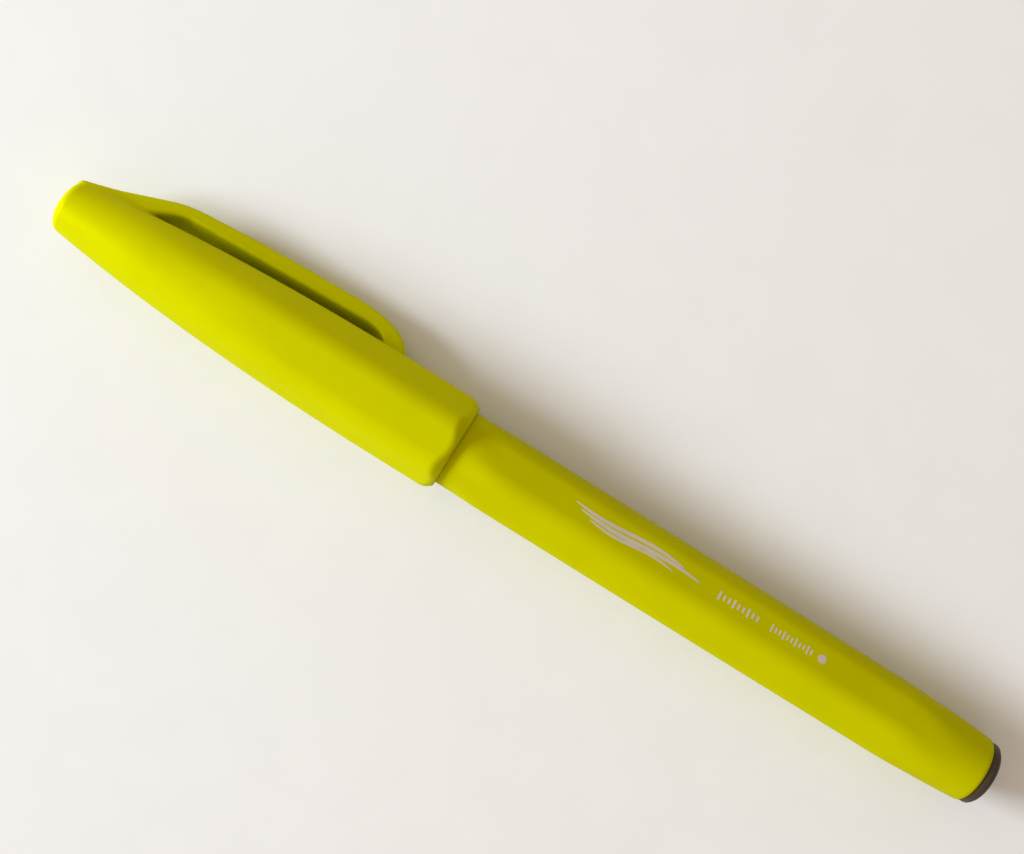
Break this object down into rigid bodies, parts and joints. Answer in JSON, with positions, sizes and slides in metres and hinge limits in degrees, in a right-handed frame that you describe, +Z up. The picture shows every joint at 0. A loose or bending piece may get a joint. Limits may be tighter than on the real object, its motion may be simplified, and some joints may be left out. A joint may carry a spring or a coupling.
{
  "type": "brush pen",
  "caption": "Capped brush pen lying on its side, with a six-sided tapering barrel, a cap with a pocket clip, an end plug, and a flexible tip fed from a fibre ink core.",
  "frame": {"origin": "on the surface that the pen lies on, under the middle of its box", "axes": "+X along the pen from the cap's closed end to the tail, +Y to the side the pocket clip is on, +Z up"},
  "size_m": [0.1408, 0.0162, 0.0125],
  "materials": {
    "cap_plastic": "semi-gloss moulded lime plastic",
    "barrel_plastic": "satin moulded lime plastic with a silver foil print",
    "dark_plastic": "satin dark brown-grey plastic",
    "liner_plastic": "natural translucent polypropylene",
    "tip_elastomer": "matt flexible tip, wet with ink",
    "ink_fibre": "bonded fibre soaked with ink",
    "clear_film": "thin clear film"
  },
  "bodies": {
    "barrel": {"barrel": "barrel_plastic", "end_plug": "dark_plastic", "front_section": "dark_plastic", "tip_holder": "liner_plastic", "feed_rod": "ink_fibre", "reservoir_core": "ink_fibre", "reservoir_film": "clear_film"},
    "tip": {"brush_tip": "tip_elastomer"},
    "liner": {"inner_cap": "liner_plastic"},
    "cap": {"cap_shell": "cap_plastic"},
    "clip": {"pocket_clip": "cap_plastic"}
  },
  "joints": [
    {"name": "cap_slide", "type": "slide", "parent": "barrel", "child": "liner", "axis": [-0.9999, 0, 0.0131], "range_m": [0, 0.062]},
    {"name": "cap_turn", "type": "hinge", "parent": "liner", "child": "cap", "pos_m": [-0.0704, -0.00153, 0.00696], "axis": [0.9999, 0, -0.0131], "continuous": true},
    {"name": "clip_flex", "type": "hinge", "parent": "cap", "child": "clip", "pos_m": [-0.06059, 0.00368, 0.00406], "axis": [0.0115, 0.4695, 0.8829], "range_deg": [0, 5], "stiffness_Nm_per_rad": 2},
    {"name": "tip_bend", "type": "hinge", "parent": "barrel", "child": "tip", "pos_m": [-0.04638, -0.00153, 0.00664], "axis": [0, 1, 0], "range_deg": [-12, 12], "stiffness_Nm_per_rad": 0.005}
  ]
}
